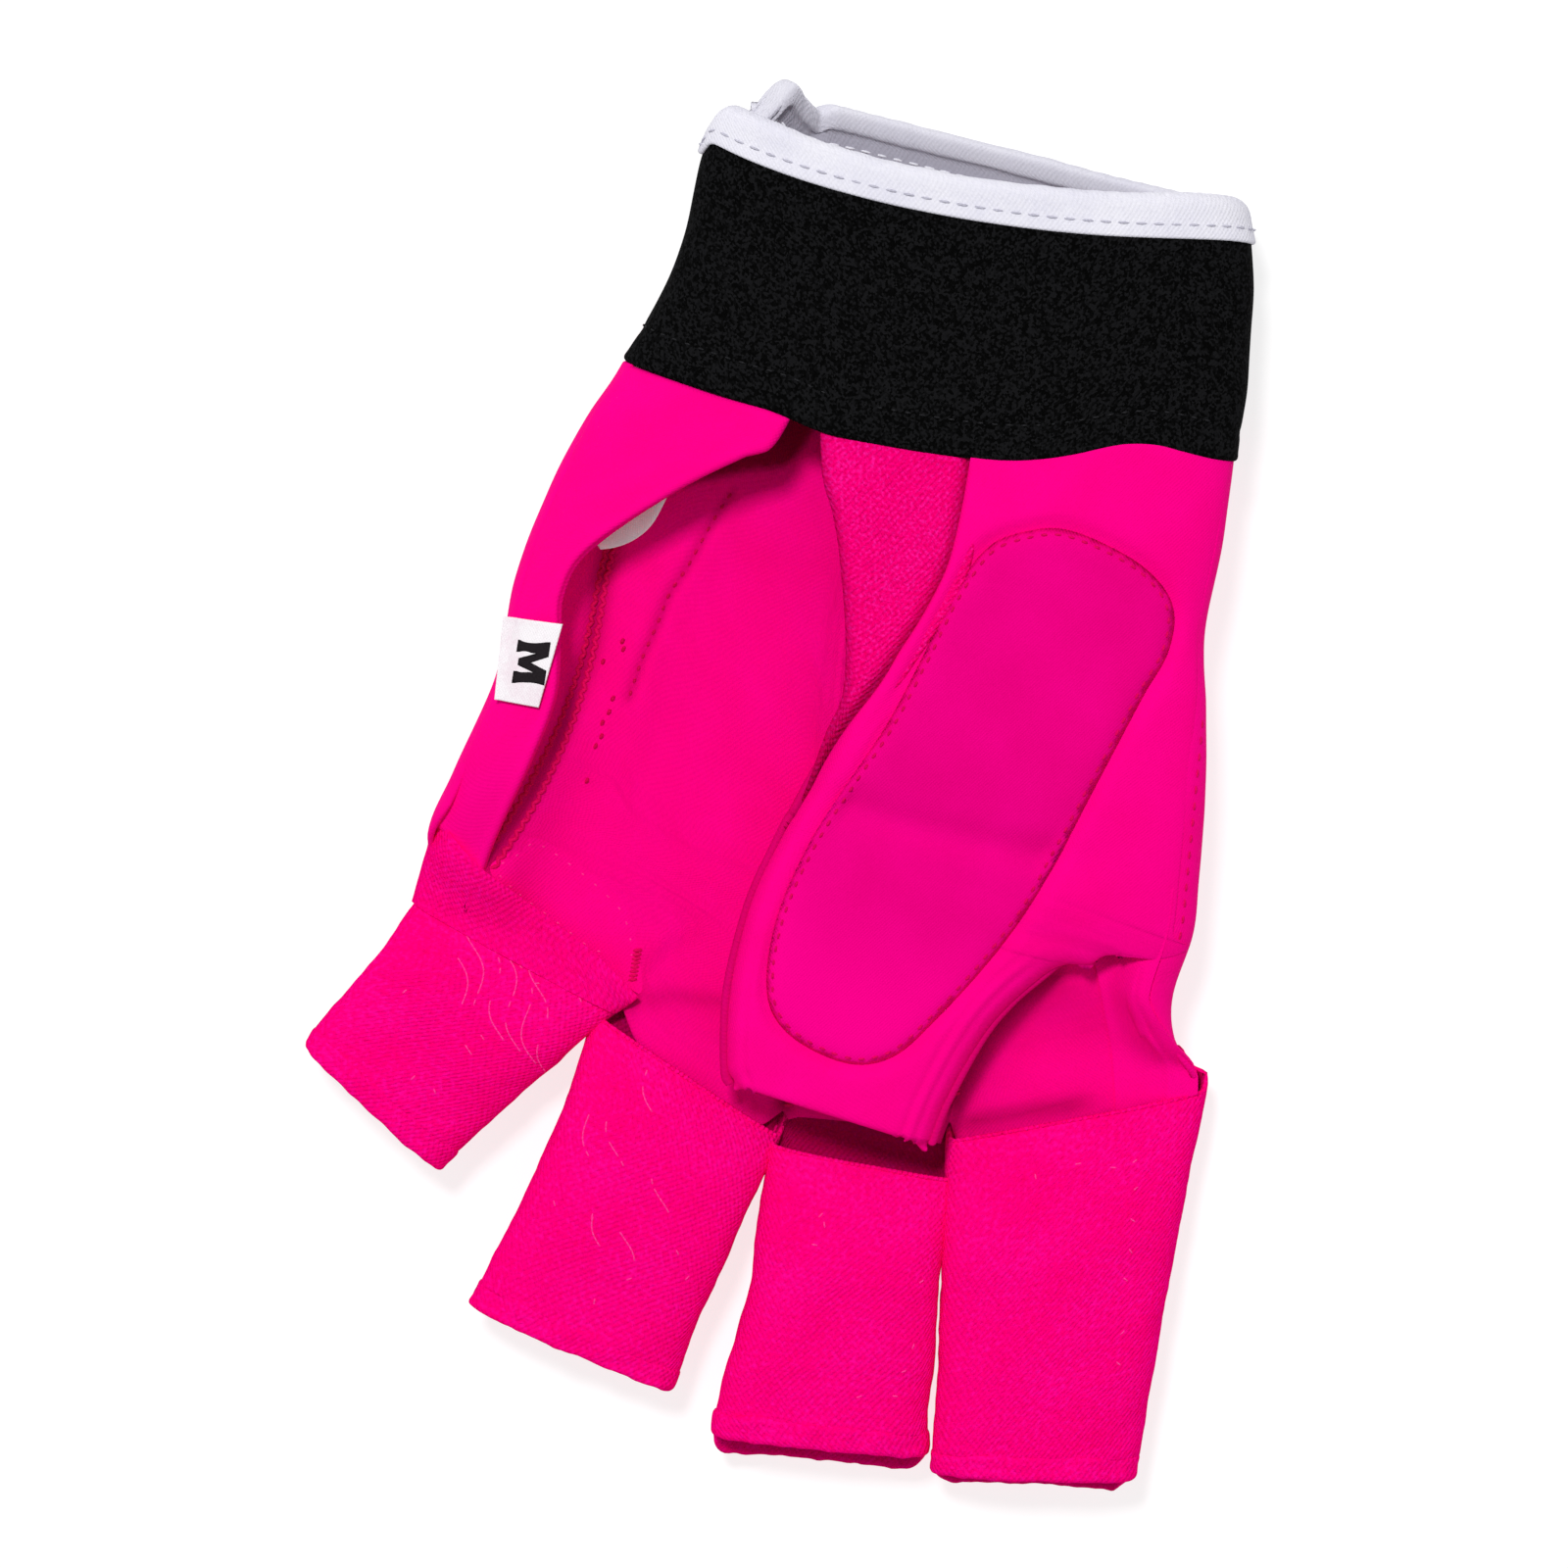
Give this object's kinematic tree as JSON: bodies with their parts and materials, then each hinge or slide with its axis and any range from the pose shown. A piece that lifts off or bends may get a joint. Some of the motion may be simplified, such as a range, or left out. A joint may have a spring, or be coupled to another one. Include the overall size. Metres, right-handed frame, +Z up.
{
  "type": "field hockey glove",
  "caption": "Left-hand half-finger field hockey glove with padded back, open palm, thumb pad panel and elastic cuff.",
  "frame": {"origin": "on the surface that the glove lies on, under the middle of the palm", "axes": "+X across the hand to the thumb side, +Y from the fingertips to the cuff, +Z up out of the palm"},
  "size_m": [0.1298, 0.1959, 0.0273],
  "materials": {
    "neoprene": "smooth matt jersey over foam",
    "pad_fabric": "matt, slightly darker pink",
    "knit": "textured stretch knit",
    "lining": "brushed jersey",
    "foam": "open foam sheet",
    "elastic": "speckled black knit elastic",
    "binding": "white satin tape",
    "thread": "sewing thread",
    "label": "white satin ribbon"
  },
  "bodies": {
    "shell": {"back_cover": "neoprene", "back_foam": "foam", "back_lining": "lining", "metacarpal_pad_ulnar": "pad_fabric", "metacarpal_pad_middle": "pad_fabric", "metacarpal_pad_radial": "pad_fabric", "knuckle_pad_little": "pad_fabric", "knuckle_pad_ring": "pad_fabric", "knuckle_pad_middle": "pad_fabric", "knuckle_pad_index": "pad_fabric", "ulnar_palm_panel": "neoprene", "radial_palm_panel": "neoprene", "thumb_gusset": "knit", "thumb_pad_root": "pad_fabric", "care_label": "label", "bar_tack_little_ring": "thread", "bar_tack_ring_middle": "thread", "bar_tack_middle_index": "thread"},
    "cuff": {"cuff_band": "elastic", "cuff_binding": "binding"},
    "thumb": {"thumb_front": "neoprene", "thumb_back": "neoprene", "thumb_pad_tip": "pad_fabric"},
    "size_tag_body": {"size_tag": "label"},
    "little_finger": {"little_stall": "knit", "little_tip_hem": "knit", "little_back_pad": "pad_fabric"},
    "ring_finger": {"ring_stall": "knit", "ring_tip_hem": "knit", "ring_back_pad": "pad_fabric"},
    "middle_finger": {"middle_stall": "knit", "middle_tip_hem": "knit", "middle_back_pad": "pad_fabric"},
    "index_finger": {"index_stall": "knit", "index_tip_hem": "knit", "index_back_pad": "pad_fabric"}
  },
  "joints": [
    {"name": "little_flex", "type": "hinge", "parent": "shell", "child": "little_finger", "pos_m": [-0.05287, -0.03732, 0.019], "axis": [-0.7973, 0.5666, -0.2079], "range_deg": [0, 80]},
    {"name": "ring_flex", "type": "hinge", "parent": "shell", "child": "ring_finger", "pos_m": [-0.02239, -0.04813, 0.019], "axis": [-0.9433, 0.283, -0.1737], "range_deg": [0, 80]},
    {"name": "middle_flex", "type": "hinge", "parent": "shell", "child": "middle_finger", "pos_m": [0.00302, -0.05426, 0.019], "axis": [-1, 0, 0], "range_deg": [0, 80]},
    {"name": "index_flex", "type": "hinge", "parent": "shell", "child": "index_finger", "pos_m": [0.03312, -0.04742, 0.019], "axis": [-0.9932, -0.052, 0.1045], "range_deg": [0, 80]},
    {"name": "thumb_lift", "type": "hinge", "parent": "shell", "child": "thumb", "pos_m": [0.008, -0.0119, 0.0268], "axis": [-0.9611, 0.2762, 0], "range_deg": [0, 60]},
    {"name": "wrist_fold", "type": "hinge", "parent": "shell", "child": "cuff", "pos_m": [-0.002, 0.0492, 0.0259], "axis": [1, 0, 0], "range_deg": [0, 50]},
    {"name": "size_tag_flip", "type": "hinge", "parent": "shell", "child": "size_tag_body", "pos_m": [-0.05255, 0.00938, 0.0237], "axis": [0.1229, 0.991, 0.0533], "range_deg": [0, 140]}
  ]
}
